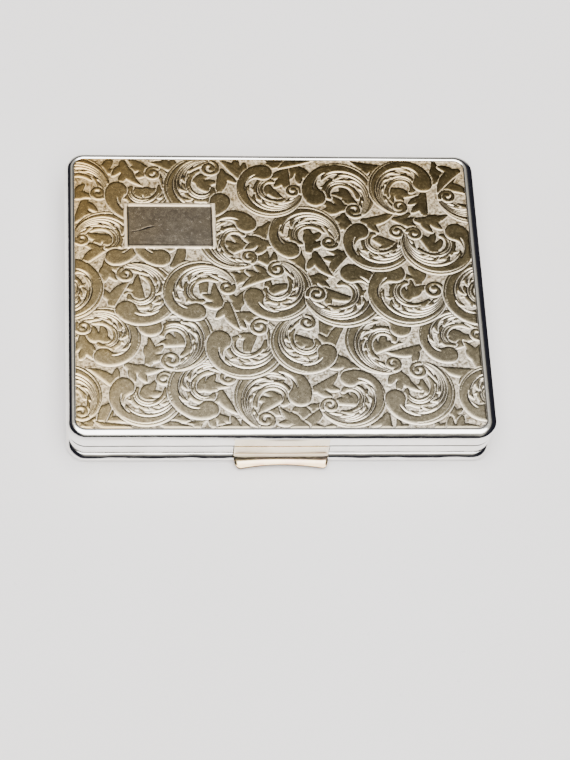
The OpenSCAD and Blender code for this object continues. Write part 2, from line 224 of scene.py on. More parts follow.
def turned(start, stretches, steps=9):
    """Section points from a start, by stretches of (first facing, last facing, length).

    A facing is the angle in degrees that the surface looks above the horizon: 90 is up."""
    points = [start]
    for first, last, length in stretches:
        for facing in np.radians(np.linspace(first, last, steps)):
            inset, z = points[-1]
            points.append((inset - math.sin(facing) * length / steps,
                           z - math.cos(facing) * length / steps))
    return points


# ---------------------------------------------------------------- materials

class Nodes:
    """A short way to write a node tree."""

    def __init__(self, tree):
        self.tree = tree

    def add(self, kind, **settings):
        node = self.tree.nodes.new(kind)
        for key, value in settings.items():
            setattr(node, key, value)
        return node

    def set(self, socket, value):
        if isinstance(value, bpy.types.NodeSocket):
            self.tree.links.new(value, socket)
        else:
            socket.default_value = value

    def math(self, operation, a, b=0.0, clamp=False):
        node = self.add("ShaderNodeMath", operation=operation, use_clamp=clamp)
        self.set(node.inputs[0], a)
        self.set(node.inputs[1], b)
        return node.outputs[0]

    def mix(self, factor, a, b, blend="MIX"):
        node = self.add("ShaderNodeMix", data_type="RGBA", blend_type=blend)
        self.set(node.inputs["Factor"], factor)
        self.set(node.inputs["A"], a if isinstance(a, bpy.types.NodeSocket) else (*a, 1))
        self.set(node.inputs["B"], b if isinstance(b, bpy.types.NodeSocket) else (*b, 1))
        return node.outputs["Result"]

    def spread(self, value, low, high, to_low=0.0, to_high=1.0):
        node = self.add("ShaderNodeMapRange", clamp=True)
        self.set(node.inputs["Value"], value)
        for key, number in (("From Min", low), ("From Max", high),
                            ("To Min", to_low), ("To Max", to_high)):
            node.inputs[key].default_value = number
        return node.outputs[0]

    def axes(self, vector):
        """The x, y and z of a vector."""
        split = self.add("ShaderNodeSeparateXYZ")
        self.set(split.inputs[0], vector)
        return [split.outputs[axis] for axis in "XYZ"]


class Metal(Nodes):
    """The nodes of one material, a metal unless it says otherwise."""

    def __init__(self, name):
        self.material = bpy.data.materials.new(name)
        self.material.use_nodes = True
        super().__init__(self.material.node_tree)
        self.shader = self.tree.nodes["Principled BSDF"]
        self.shader.inputs["Metallic"].default_value = 1.0
        self.place = self.add("ShaderNodeTexCoord").outputs["Object"]

    def noise(self, size, stretch=(1, 1, 1), detail=4.0, rough=0.5, distortion=0.0):
        """Noise whose largest features are about size millimetres."""
        mapping = self.add("ShaderNodeMapping")
        self.set(mapping.inputs["Vector"], self.place)
        mapping.inputs["Scale"].default_value = stretch
        node = self.add("ShaderNodeTexNoise")
        self.set(node.inputs["Vector"], mapping.outputs[0])
        node.inputs["Scale"].default_value = 1 / (size * MM)
        node.inputs["Detail"].default_value = detail
        node.inputs["Roughness"].default_value = rough
        node.inputs["Distortion"].default_value = distortion
        return node.outputs["Fac"]

    def attribute(self, name):
        return self.add("ShaderNodeAttribute", attribute_name=name).outputs["Fac"]

    def bump(self, height, depth, strength=1.0):
        node = self.add("ShaderNodeBump")
        node.inputs["Distance"].default_value = depth * MM
        node.inputs["Strength"].default_value = strength
        self.set(node.inputs["Height"], height)
        self.set(self.shader.inputs["Normal"], node.outputs[0])

    def colour(self, value):
        self.set(self.shader.inputs["Base Color"], value)

    def roughness(self, value):
        self.set(self.shader.inputs["Roughness"], value)


def metal(name, bright, dull, rough, scratch_depth=0.004, tarnish=0.5, stains_and_shade=None):
    """Polished plate with soft tarnish, fine rubbing marks and a slightly wavy skin."""
    m = Metal(name)
    cloud = m.noise(9, detail=6, rough=0.6)
    specks = m.noise(0.8, detail=3)
    scratch_x = m.noise(0.10, stretch=(0.06, 1, 1), detail=2)
    scratch_y = m.noise(0.12, stretch=(1, 0.06, 1), detail=2)
    stain = m.spread(cloud, 0.45, 0.75, 0.0, tarnish)
    tone = m.mix(stain, bright, dull)
    tone = m.mix(m.spread(specks, 0.62, 0.75, 0.0, 0.35 * tarnish), tone, dull)
    m.colour(stains_and_shade(m, tone) if stains_and_shade else tone)
    marks = m.math("MAXIMUM", m.spread(scratch_x, 0.60, 0.72), m.spread(scratch_y, 0.62, 0.74))
    base = m.spread(cloud, 0.3, 0.75, rough, rough * 1.9)
    m.roughness(m.math("ADD", base, m.math("MULTIPLY", marks, 0.08)))
    skin = m.math("ADD", m.math("MULTIPLY", m.noise(5, detail=2), 0.8),
                  m.math("MULTIPLY", marks, -0.35))
    m.bump(skin, scratch_depth * 4)
    return m.material


def engraved_metal():
    """Silver plate: polished leaves coloured dark as a painted reflection of the dim room, bright cut
    lines and a stippled pale ground.
    """
    m = Metal("engraved_silver")
    leaf, line = m.attribute("leaf"), m.attribute("line")
    field, dark = m.attribute("field"), m.attribute("dark")
    cloud = m.noise(7, detail=5, rough=0.6)
    fine = m.noise(0.62, detail=3, rough=0.7)
    x, y, _ = m.axes(m.place)
    wander = m.math("MULTIPLY", m.math("SUBTRACT", cloud, 0.5), 0.03)
    across = m.math("ADD", x, wander)
    # tone shifts set by place on the plate, yellower at the left, paler at the front, darker at the back:
    # partly tarnish, partly painted reflection
    yellow = m.math("MULTIPLY", m.spread(across, -0.044, -0.024, 1.0, 0.0), 0.8)
    pale = m.spread(m.math("ADD", y, wander), -0.030, 0.0, 1.0, 0.0)

    ground = m.mix(m.spread(fine, 0.40, 0.60), (0.17, 0.14, 0.09), (0.90, 0.82, 0.68))
    ground = m.mix(m.spread(cloud, 0.4, 0.7), ground, (0.78, 0.72, 0.64), "MULTIPLY")
    # leaf colour: kept dark as a painted reflection of the dim room
    body = m.mix(m.spread(cloud, 0.35, 0.7), (0.085, 0.070, 0.040), (0.22, 0.185, 0.115))
    # leaves paler towards the front and the left, partly a painted reflection
    body = m.mix(m.math("MULTIPLY", pale, 0.42), body, (0.42, 0.37, 0.28))
    body = m.mix(m.spread(across, -0.040, 0.005, 0.60, 0.0), body, (0.46, 0.385, 0.25))
    body = m.mix(m.spread(fine, 0.55, 0.8, 0.0, 0.20), body, (0.42, 0.385, 0.31))
    tone = m.mix(leaf, ground, body)
    # bright cut colour, which also carries the painted highlight along the leaves' front edges
    tone = m.mix(line, tone, (0.90, 0.81, 0.67))
    plain = m.mix(m.spread(m.noise(2.5, detail=6, rough=0.7), 0.35, 0.7),
                  (0.20, 0.18, 0.16), (0.30, 0.275, 0.24))
    tone = m.mix(field, tone, plain)
    tone = m.mix(yellow, tone, (1.0, 0.84, 0.54), "MULTIPLY")
    # darker towards the back of the plate, partly a painted reflection
    back = m.spread(m.math("ADD", y, wander), -0.010, 0.036)
    tone = m.mix(back, tone, (0.80, 0.69, 0.50), "MULTIPLY")
    tone = m.mix(dark, tone, (0.015, 0.013, 0.012))
    m.colour(tone)
    rough = m.spread(leaf, 0, 1, 0.46, 0.20)
    rough = m.math("ADD", rough, m.spread(fine, 0.4, 0.7, -0.04, 0.08))
    m.roughness(rough)
    m.bump(m.math("MULTIPLY", fine, m.math("SUBTRACT", 1.0, leaf)), 0.03)
    return m.material


def catch_stains_and_shade(m, tone):
    """Worn gilt of the catch: pink and yellow patches, most on the lip, painted shade along the lip's
    lower front, and a painted shadow at the top centre.
    """
    x, y, z = m.axes(m.place)
    patch = m.noise(5, stretch=(0.5, 1, 1.6), detail=4, rough=0.6)
    worn = m.mix(m.spread(patch, 0.40, 0.60), (1.0, 0.88, 0.62), (0.96, 0.76, 0.72))
    lip = m.spread(z, 0.0022, 0.0030, 0.85, 0.30)
    tone = m.mix(lip, tone, worn, "MULTIPLY")
    # painted shade along the lower front of the lip, broken up by the patches
    dull = m.math("MULTIPLY", m.spread(y, -0.0396, -0.0391, 1.0, 0.25),
                  m.spread(z, 0.0018, 0.0028, 1.0, 0.0))
    dull = m.math("MULTIPLY", dull, m.spread(patch, 0.38, 0.62, 0.55, 1.0))
    tone = m.mix(dull, tone, (0.44, 0.37, 0.27), "MULTIPLY")
    # painted shadow at the top centre of the catch
    off = m.math("ABSOLUTE", m.math("SUBTRACT", x, 0.001))
    painted_top_shadow = m.math("MULTIPLY", m.spread(off, 0.002, 0.006, 1.0, 0.0), m.spread(z, 0.0088, 0.0097))
    painted_top_shadow = m.math("MULTIPLY", painted_top_shadow, m.spread(patch, 0.35, 0.55, 0.5, 1.0))
    return m.mix(painted_top_shadow, tone, (0.20, 0.18, 0.13))


def table_top():
    m = Metal("table_top")
    m.shader.inputs["Metallic"].default_value = 0.0
    m.shader.inputs["Specular IOR Level"].default_value = 0.35
    cloud = m.noise(120, detail=4)
    specks = m.noise(1.6, detail=3)
    tone = m.mix(m.spread(cloud, 0.35, 0.65), (0.84, 0.805, 0.79), (0.86, 0.84, 0.835))
    tone = m.mix(m.spread(specks, 0.66, 0.78, 0.0, 0.3), tone, (0.66, 0.64, 0.63))
    m.colour(tone)
    m.roughness(m.spread(cloud, 0.3, 0.7, 0.30, 0.42))
    return m.material


SILVER = metal("polished_silver", (0.985, 0.965, 0.93), (0.66, 0.63, 0.58), 0.05, 0.0012)
ENGRAVED = engraved_metal()
CATCH_GILT = metal("catch_gilt", (0.97, 0.90, 0.74), (0.70, 0.60, 0.44), 0.12, 0.002, 0.6, catch_stains_and_shade)
GILT = metal("gilt", (0.90, 0.69, 0.36), (0.62, 0.43, 0.20), 0.16, 0.002)
STEEL = metal("steel", (0.62, 0.61, 0.60), (0.36, 0.34, 0.32), 0.26)
TABLE = table_top()


# ---------------------------------------------------------------- lid frame

def lid_frame():
    """Wall, ledge and polished round rim, with a fine groove inside the rim."""
    wall, inner = OVERHANG, OVERHANG + SHEET
    round_top = np.array(turned((RIM_W, 0.0), [(118, 90, 0.42), (90, 48, 0.92), (43, 29, 1.25),
                                               (22, 0, 0.10)]))
    round_top[:, 0] *= RIM_W / (RIM_W - round_top[-1, 0])
    round_top[:, 0] -= round_top[-1, 0]
    round_top[:, 1] += CREST_Z - round_top[:, 1].max()
    under = round_top[-1, 1]
    section = [(wall + 0.06, LID_FOOT), (wall, LID_FOOT + 0.07), (wall, LID_FOOT + 1.2),
               (wall, RIM_FOOT - 0.10), (wall - 0.06, RIM_FOOT)]
    section += arc(0.26, under, 0.26, under - RIM_FOOT, 270, 190, 6)
    section += [tuple(p) for p in round_top[::-1]]
    section += [(RIM_W, LEDGE_HI), (RIM_W + 0.75, LEDGE_HI), (RIM_W + 0.8, LEDGE_HI - 0.05),
                (RIM_W + 0.8, LEDGE_LO + 0.05), (RIM_W + 0.75, LEDGE_LO), (inner, LEDGE_LO),
                (inner, LID_FOOT + 0.07), (inner - 0.06, LID_FOOT)]
    obj = loft("lid_frame_visual", CASE_W, CASE_D, CORNER_R, section, True, wall_waves)
    channel = (-CHANNEL_END, CHANNEL_IN, 5.0), (CHANNEL_END, CHANNEL_OUT, HINGE_Z + CHANNEL_UP)
    pocket = ((KEEPER_LO[0], -WALL_D, LID_FOOT - 1), (KEEPER_HI[0], KEEPER_HI[1], RIM_FOOT))
    cut(obj, [channel, pocket])
    return finish_piece(obj, SILVER, "lid", ["lid_frame"])


def wall_waves(points):
    """Unevenness of the pressed sheet, with dents in the front rim and a flatter right rim.

    The walls only ever move inward. The ripple on the foot roll moves it up and down."""
    p = points.copy()
    x, y, z = p.T
    side = np.maximum(np.abs(x) - (WALL_W / 2 - 2.2), np.abs(y) - (WALL_D / 2 - 2.2))
    weight = np.clip(side / 1.2, 0, 1) * np.clip((CREST_Z - 1.6 - z) / 1.0, 0, 1)
    along = np.arctan2(y / WALL_D, x / WALL_W) * 9
    wave = 0.5 + 0.25 * np.sin(along * 2.1 + 0.7 * z) + 0.25 * np.sin(along * 5.3 - z + 1.3)
    pull = 0.035 * weight * wave
    flare = np.clip((z - 1.5) / 0.5, 0, 1) * np.clip((3.2 - z) / 0.4, 0, 1)
    ripple = np.sin(along * 3.1 + 0.6) + 0.6 * np.sin(along * 7.7) + 0.4 * np.sin(along * 15.1)
    p[:, 2] += 0.04 * flare * ripple
    facet = np.clip((z - CREST_Z + 1.25) / 0.65, 0, 1) * np.clip((CREST_Z - z) / 0.2, 0, 1)
    dent = np.sin(0.7 * x) + np.sin(1.53 * x + 1) + 0.7 * np.sin(2.3 * x)
    left = np.clip(0.30 - x / 45, 0, 1)
    p[:, 1] -= facet * (y < 0) * (0.12 * left + 0.02 * dent * (1 - left))
    inset = RIM_HI[0] - x.max()
    if inset < 1.7 and z.max() > RIM_FOOT:
        right = np.clip((x + inset - RIM_HI[0] + 4.5) / 3.5, 0, 1)
        under = CREST_Z - RIM_FALL
        rising = (z - RIM_FOOT) / (under - RIM_FOOT) * RIM_FALL
        lift = 0.5 * np.where(z > under, CREST_Z - z, rising)
        p[:, 2] += right * lift
    p[:, 0] -= np.sign(x) * pull * (np.abs(x) > WALL_W / 2 - 2.5)
    p[:, 1] -= np.sign(y) * pull * (np.abs(y) > WALL_D / 2 - 2.5)
    return p


# ---------------------------------------------------------------- base tray

def base_shell():
    """Pressed tray with a roll round its foot, a soft upper edge, a window and a hinge channel."""
    top = TRAY_TOP
    floor_in = 9.0
    cove = 0.50
    flare = np.array(turned((cove, 2.75), [(66, 50, 0.14), (44, 28, 1.18), (20, 0, 0.15)]))
    flare[:, 0] = cove - (cove - flare[:, 0]) * (cove + ROLL_OUT) / (cove - flare[-1, 0])
    low = flare[-1, 1]
    section = [(floor_in, 0.0), (3.5, 0.0)]
    section += arc(ROLL_R - ROLL_OUT, low, ROLL_R, low, 270, 184, 11)
    section += [tuple(p) for p in flare[::-1]]
    section += [(cove, 2.95), (cove * 0.85, 3.3), (cove * 0.45, 4.0), (cove * 0.12, 4.8),
                (0.0, 5.6), (0.0, top - 0.32), (0.03, top - 0.27), (0.18, top - 0.04),
                (0.24, top)]
    section += arc(SHEET - 0.16, top - 0.16, 0.16, 0.16, 90, 0, 4)
    section += [(SHEET, 5.0), (SHEET, EDGE_R)]
    inner = EDGE_R - SHEET
    section += arc(EDGE_R, EDGE_R, inner, inner, 180, 270, 9)[1:]
    section += [(EDGE_R + 2.0, SHEET), (floor_in, SHEET)]
    obj = loft("base_shell_visual", WALL_W, WALL_D, WALL_R, section, False, wall_waves)
    channel = ((-CHANNEL_END, CHANNEL_IN, HINGE_Z - CHANNEL_DOWN),
               (CHANNEL_END, CHANNEL_OUT, OVER_TRAY))
    gap = 0.2
    window = ((CATCH_LO[0] - gap, -WALL_D, 1.9),
              (CATCH_HI[0] + gap, -WALL_D / 2 + SHEET + 0.3, OVER_TRAY))
    cut(obj, [channel, window])
    return finish_piece(obj, SILVER, "base", ["base_shell"])


# ---------------------------------------------------------------- scroll engraving

PITCH = 0.16                    # distance between the engraved sheet's points
LEAF_RISE = 0.04                # crown of a polished leaf over its edge
GROUND_Z = -0.10                # stippled ground, below the plate's face
CUT_Z = -0.16                   # bottom of a cut line
OUTLINE = (0.05, 0.24)          # width of the cut round a leaf, at its back and at its front; the wider front cut is a painted highlight


class Engraving:
    """Height field and masks over the plate, painted stroke by stroke, later ones on top."""

    def __init__(self, width, depth):
        self.x = np.linspace(-width / 2, width / 2, int(round(width / PITCH)) + 1)
        self.y = np.linspace(-depth / 2, depth / 2, int(round(depth / PITCH)) + 1)
        shape = (len(self.y), len(self.x))
        self.leaf = np.zeros(shape)
        self.line = np.zeros(shape)
        self.field = np.zeros(shape)
        self.dark = np.zeros(shape)
        self.height = np.full(shape, GROUND_Z)

    def distance(self, strokes, margin):
        """Distance outside a group of tapered strokes, over the window that it reaches."""
        ends = [(np.asarray(p, float), np.asarray(r, float)) for p, r in strokes]
        low = np.min([p.min(0) - r.max() for p, r in ends], 0) - margin
        high = np.max([p.max(0) + r.max() for p, r in ends], 0) + margin
        i0, i1 = np.searchsorted(self.x, [low[0], high[0]])
        j0, j1 = np.searchsorted(self.y, [low[1], high[1]])
        if i1 - i0 < 3 or j1 - j0 < 3:
            return None, None
        gx, gy = np.meshgrid(self.x[i0:i1], self.y[j0:j1])
        best = np.full(gx.shape, 1e3)
        for p, r in ends:
            for a, b, ra, rb in zip(p[:-1], p[1:], r[:-1], r[1:]):
                d = b - a
                t = np.clip(((gx - a[0]) * d[0] + (gy - a[1]) * d[1]) / (d @ d + 1e-12), 0, 1)
                q = np.hypot(gx - a[0] - t * d[0], gy - a[1] - t * d[1]) - (ra + (rb - ra) * t)
                np.minimum(best, q, out=best)
        return (slice(j0, j1), slice(i0, i1)), best

    def leaf_shape(self, strokes, under=False):
        """A raised polished leaf. Its cut is widest where the leaf faces front, a painted highlight in the
        bright cut colour.

        A leaf that lies under the rest shows only where the ground is still plain."""
        w, d = self.distance(strokes, 0.9)
        if w is None:
            return
        free = 1 - np.clip(1.6 * (self.leaf[w] + self.line[w]), 0, 1) if under else 1.0
        towards = np.gradient(d, PITCH)[0]
        thin, thick = OUTLINE
        # cut widened where the leaf faces front: a painted highlight
        wide = thin + (thick - thin) * np.clip(0.5 - 0.75 * towards, 0, 1)
        inside = np.clip(0.5 - d / 0.14, 0, 1)
        halo = np.clip((wide - d) / 0.14 + 0.5, 0, 1)
        halo = np.maximum(halo, inside) * free
        inside = inside * free
        rim = halo - inside
        crown = LEAF_RISE * (np.clip(-d / 0.6, 0, 1) ** 0.7 - 1)
        self.leaf[w] = self.leaf[w] * (1 - halo) + inside
        self.line[w] = self.line[w] * (1 - halo) + rim
        self.height[w] = self.height[w] * (1 - halo) + rim * CUT_Z + inside * crown

    def groove(self, points, radii):
        """A bright tapered cut."""
        w, d = self.distance([(points, radii)], 0.4)
        if w is None:
            return
        amount = np.clip(0.5 - d / 0.15, 0, 1)
        self.line[w] = np.maximum(self.line[w], amount)
        self.height[w] = self.height[w] * (1 - amount) + amount * CUT_Z * 0.8


def ring_point(angle, radius):
    """Points at angles in degrees and radii about a scroll's centre."""
    a = np.radians(angle)
    return np.stack([radius * np.cos(a), radius * np.sin(a)], -1)


def flame(foot, heading, size, bend, sides=3):
    """A curved pointed leaf with side lobes: one group of strokes, and the cut of its main vein."""
    h = math.radians(heading)
    ahead = np.array([math.cos(h), math.sin(h)])
    beside = np.array([-ahead[1], ahead[0]])
    t = np.linspace(0, 1, 12)[:, None]
    main = foot + size * (ahead * t + beside * bend * t ** 2)
    lobes = [(main, size * 0.19 * np.sin(np.pi * (0.20 + 0.79 * t[:, 0])) ** 0.85 + 0.004)]
    hand = -1 if bend > 0 else 1
    for j in range(sides):
        side = (hand, hand, -hand)[j]
        out = ahead * (0.22, 0.30, 0.24)[j] + beside * side * (0.46, 0.36, 0.42)[j]
        curl = ahead * 0.20 - beside * side * 0.04
        path = main[(2, 5, 3)[j]] + size * (out * t + curl * t ** 2) * (0.85, 0.75, 0.75)[j]
        lobes.append((path, size * 0.15 * np.sin(np.pi * (0.22 + 0.66 * t[:, 0])) ** 0.8))
    vein = main[3:-2], size * 0.018 * np.linspace(0.3, 1, 7)
    return [("leaf", lobes), ("groove", [vein])]


def scroll(seed, sweep=205):
    """One C-scroll about its own centre with radius about 1, as (kind, strokes) in painting order.

    The body swells from the neck of a small spiral, its inner edge breaks into hooked plume
    tips, long tapered cuts part the plumes, and it ends in a full comma lobe. A curled leaf
    stands inside."""
    rng = np.random.default_rng(seed)

    def vary(share):
        return 1 + share * rng.uniform(-1, 1)

    out = []
    plumes = 5
    neck = -12 - sweep
    start, spread = -36 + 6 * rng.uniform(-1, 1), (sweep - 20) / (plumes + 0.4)

    # curled leaf inside the body, with hooked tips along its back and one long cut
    root = -12 - 0.80 * sweep * vary(0.06)
    u = np.linspace(0, 1, 18)
    coil = 235 * vary(0.08)
    path = ring_point(root + coil * u, 0.60 - 0.36 * u ** 0.9)
    leaf = [(path, 0.14 * np.sin(np.pi * (0.10 + 0.80 * u)) ** 0.8 + 0.012)]
    for j, reach in ((5, 0.15), (8, 0.20), (11, 0.17)):
        hook = np.linspace(0, 1, 7)
        tip = ring_point(root + coil * u[j] + 20 * hook, 0.60 - 0.36 * u[j] ** 0.9 + reach * hook ** 1.4)
        leaf.append((tip, 0.075 * np.sin(np.pi * (0.35 + 0.60 * hook)) ** 0.8))
    out.append(("leaf", leaf))
    out.append(("groove", [(path[2:-4] * 1.03, 0.020 * np.sin(np.pi * np.linspace(0.05, 0.98, 12)))]))
    out.append(("groove", [(path[5:-3] * 0.86, 0.014 * np.sin(np.pi * np.linspace(0.05, 0.98, 10)))]))

    # body, comma lobe and the hooked plume tips along the inner edge, as one shape
    knots = [neck, neck + 18, neck + 55, neck + 105, start - 25, start + 20]
    a = np.linspace(neck, start + 20, 30)
    outer = np.interp(a, knots, [0.97, 1.03, 1.08, 1.10, 1.08, 1.02])
    inner = np.interp(a, knots, [0.86, 0.80, 0.68, 0.66, 0.70, 0.78])
    w = np.linspace(0, 1, 14)
    fat = 0.12 + 0.18 * vary(0.08) * np.clip((w - 0.1) / 0.9, 0, 1) ** 1.1
    lobe = ring_point(-46 + 70 * w, 0.89 - 0.27 * w ** 2.0)
    shape = [(ring_point(a, (outer + inner) / 2), (outer - inner) / 2), (lobe, fat)]
    for k in range(plumes):
        u = np.linspace(0, 1, 9)
        drop = (0.16, 0.28, 0.28, 0.22, 0.14)[k] * vary(0.12)
        path = ring_point(start - spread * k - 34 + 40 * u, 0.80 - drop * u ** 1.5)
        shape.append((path, 0.085 * np.sin(np.pi * (0.25 + 0.72 * u)) ** 0.7))
    out.append(("leaf", shape))

    # long cuts between the plumes, thickest near the inner edge, nested towards the neck
    for k in range(plumes):
        a0 = start - spread * k - 6
        v = np.linspace(0, 1, 22)
        depth = (0.70, 0.62, 0.60, 0.64, 0.72)[k]
        rise = depth + (0.975 - 0.018 * k - depth) * v ** 0.85
        swell = np.clip(v / 0.10, 0, 1) * (1 - v) ** 0.7
        out.append(("groove", [(ring_point(a0 + (neck + 6 - a0) * v, rise),
                                0.027 * vary(0.2) * swell ** 1.3 + 0.0005)]))
    rim = np.linspace(neck + 14, start - 10, 20)
    out.append(("groove", [(ring_point(rim, 1.02), 0.009 * np.sin(np.linspace(0, np.pi, 20)))]))

    # cut that turns round inside the lobe
    turn = ring_point(-56 + 68 * w[1:-2], 0.79 - 0.19 * w[1:-2] ** 1.8)
    out.append(("groove", [(turn, 0.024 * np.sin(np.pi * np.linspace(0.08, 0.98, 11)) + 0.001)]))

    # spiral at the neck
    end = ring_point(neck + 4, 0.93)
    inward = -end / np.linalg.norm(end)
    big = 0.23 * vary(0.12)
    v = np.linspace(0, 1, 22)
    turn = math.atan2(-inward[1], -inward[0]) - 2 * math.pi * 1.3 * v
    rr = big * (1 - 0.72 * v)
    curl = end + inward * big + np.stack([rr * np.cos(turn), rr * np.sin(turn)], -1)
    thick = 0.056 + 0.01 * v
    thick[-3:] = 0.08
    out.append(("leaf", [(curl, thick)]))
    return out


def sprig(seed):
    """Small filler leaf, curved to one side or the other."""
    rng = np.random.default_rng(seed)
    bend = rng.choice([-1, 1]) * rng.uniform(0.35, 0.7)
    return flame(np.array([0, -0.95]), 90 - 22 * bend, 2.0, bend, sides=int(rng.integers(1, 4)))


def place(engraving, shapes, at, size, turn, flip=False, under=False):
    c, s = math.cos(math.radians(turn)), math.sin(math.radians(turn))
    spin = np.array([[c, s], [-s, c]]) * size
    mirror = np.array([-1 if flip else 1, 1])
    for kind, strokes in shapes:
        moved = [((np.asarray(p) * mirror) @ spin + at, np.asarray(r) * size) for p, r in strokes]
        if kind == "leaf":
            engraving.leaf_shape(moved, under)
        elif not under:
            engraving.groove(*moved[0])


def scroll_layout(width, depth):
    """A staggered repeat of scrolls, each nudged and turned at random, alternate ones mirrored."""
    rng = np.random.default_rng(11)
    across, up, past = 15.6, 13.8, 4.0
    places = []
    for row in range(-3, 4):
        for column in range(-4, 5):
            x = (column + 0.5 * (row % 2)) * across + rng.uniform(-1.3, 1.3)
            y = row * up + rng.uniform(-1.2, 1.2)
            size = rng.uniform(7.4, 8.9)
            turn = rng.uniform(0, 360)
            if abs(x) < width / 2 + past and abs(y) < depth / 2 + past:
                places.append((x, y, size, turn, (row + column) % 2 == 0))
    return places


FIELD_LO = np.array([-34.0, 11.4])      # outer corners of the monogram field's raised border
FIELD_HI = np.array([-13.1, 23.9])


def fill_gaps(engraving, count, smallest):
    """Sets sprigs in the largest plain stretches of ground, one at a time."""
    step = 3
    x, y = engraving.x[::step], engraving.y[::step]
    gx, gy = np.meshgrid(x, y)
    inside = np.all([gx > FIELD_LO[0], gx < FIELD_HI[0], gy > FIELD_LO[1], gy < FIELD_HI[1]], 0)
    for number in range(count):
        free = (engraving.leaf[::step, ::step] + engraving.line[::step, ::step] < 0.3) & ~inside
        room = np.zeros(free.shape)
        while free.any():
            room += free
            free = (free & np.roll(free, 1, 0) & np.roll(free, -1, 0)
                    & np.roll(free, 1, 1) & np.roll(free, -1, 1))
        j, i = np.unravel_index(np.argmax(room), room.shape)
        size = room[j, i] * step * PITCH * 1.6
        if size < smallest:
            return
        grow_y, grow_x = np.gradient(room)
        near = (slice(max(j - 4, 0), j + 5), slice(max(i - 4, 0), i + 5))
        turn = math.degrees(math.atan2(grow_y[near].sum(), grow_x[near].sum())) + 37 * number
        place(engraving, sprig(number), np.array([x[i], y[j]]), min(size, 3.4), turn, under=True)


def monogram_field(e):
    """Plain field with a raised border, a dark inner edge at its sides and a scratch."""
    gx, gy = np.meshgrid(e.x, e.y)
    border = 0.75
    edge = np.minimum.reduce([gx - FIELD_LO[0], FIELD_HI[0] - gx, gy - FIELD_LO[1],
                              FIELD_HI[1] - gy])
    patch = np.clip(edge / PITCH + 0.5, 0, 1)
    inner = np.clip((edge - border) / PITCH + 0.5, 0, 1)
    ridge = np.clip(1 - np.abs(edge - border / 2) / (border / 2), 0, 1)
    sides = np.minimum(gx - FIELD_LO[0], FIELD_HI[0] - gx)
    shade = np.clip(1 - np.abs(sides - border - 0.15) / 0.28, 0, 1) * patch
    e.leaf = e.leaf * (1 - patch) + inner
    e.line = e.line * (1 - patch) + patch * (1 - inner)
    e.field = inner
    e.dark = np.maximum(e.dark, shade * np.clip(edge / 0.3, 0, 1) * 0.95)
    e.height = e.height * (1 - patch) + patch * (inner * -0.09)
    e.height += patch * (1 - inner) * (-0.02 + 0.02 * ridge)
    scratch = np.array([[-32.6, 15.9], [-30.5, 16.4], [-28.6, 17.2], [-27.0, 17.6]])
    w, d = e.distance([(scratch, [0.04, 0.10, 0.17, 0.03])], 0.3)
    mark = np.clip(0.5 - d / 0.16, 0, 1)
    e.dark[w] = np.maximum(e.dark[w], mark)
    e.height[w] -= 0.03 * mark


def plate_heights():
    width, depth = PLATE_HI[0] - PLATE_LO[0], PLATE_HI[1] - PLATE_LO[1]
    e = Engraving(width, depth)
    for number, (x, y, size, turn, flip) in enumerate(scroll_layout(width, depth)):
        place(e, scroll(number), np.array([x, y]), size, turn, flip)
    fill_gaps(e, 100, 1.2)
    monogram_field(e)
    rng = np.random.default_rng(7)
    plain = np.clip(1 - e.leaf - e.line, 0, 1)
    e.height += plain * 0.035 * (rng.random(plain.shape) - 0.5)
    return e


def engraved_plate():
    """Closed sheet whose upper face is the engraving's height field."""
    e = plate_heights()
    hw, hd = e.x[-1], e.y[-1]
    corner = 2.3
    over = np.clip(np.abs(e.y) - (hd - corner), 0, corner)
    half = hw - (corner - np.sqrt(corner ** 2 - over ** 2))
    gx = e.x[None, :] * (half / hw)[:, None]
    gy = np.repeat(e.y[:, None], len(e.x), 1)
    column = np.clip((gx + hw) / (2 * hw) * (len(e.x) - 1), 0, len(e.x) - 1)
    left = np.minimum(column.astype(int), len(e.x) - 2)
    part = column - left
    rows = np.arange(len(e.y))[:, None]

    def sample(values):
        return values[rows, left] * (1 - part) + values[rows, left + 1] * part

    height = sample(e.height)
    edge = np.minimum(hd - np.abs(gy), half[:, None] - np.abs(gx))
    flat = np.clip(edge / 0.35, 0, 1)
    height = height * flat - 0.06 * (1 - flat)
    top = np.stack([gx, gy, np.minimum(FACE_Z + height, FACE_Z)], -1).reshape(-1, 3)
    quads, rim = grid_faces(*gx.shape)
    low = top[rim].copy()
    low[:, 2] = PLATE_LO[2]
    count, n = len(top), len(rim)
    walls = [(rim[k], count + k, count + (k + 1) % n, rim[(k + 1) % n]) for k in range(n)]
    faces = quads.tolist() + [tuple(map(int, f)) for f in walls]
    faces.append(tuple(range(count + n - 1, count - 1, -1)))
    obj = new_object("engraved_plate_visual", np.vstack([top, low]), faces)
    for name in ("leaf", "line", "field", "dark"):
        values = np.concatenate([sample(getattr(e, name)).ravel(), np.zeros(n)])
        layer = obj.data.attributes.new(name, "FLOAT", "POINT")
        layer.data.foreach_set("value", np.clip(values, 0, 1).astype(np.float32))
    return finish_piece(obj, ENGRAVED, "lid", ["engraved_plate"], sharp=70)


# ---------------------------------------------------------------- liner, catch and keeper

def lid_liner():
    """Gilt sheet inside the lid, with softened edges and a faint pressed border."""
    w, d = LINER_HI[0] - LINER_LO[0], LINER_HI[1] - LINER_LO[1]
    lo, hi = LINER_LO[2], LINER_HI[2]
    section = [(9.0, hi), (0.08, hi), (0.0, hi - 0.08), (0.0, lo + 0.08), (0.08, lo), (2.6, lo)]
    section += arc(3.1, lo, 0.35, 0.14, 180, 0, 9)
    section += [(3.7, lo), (9.0, lo)]
    obj = loft("lid_liner_visual", w, d, WALL_R - SHEET, section, False)
    return finish_piece(obj, GILT, "lid", ["lid_liner"])


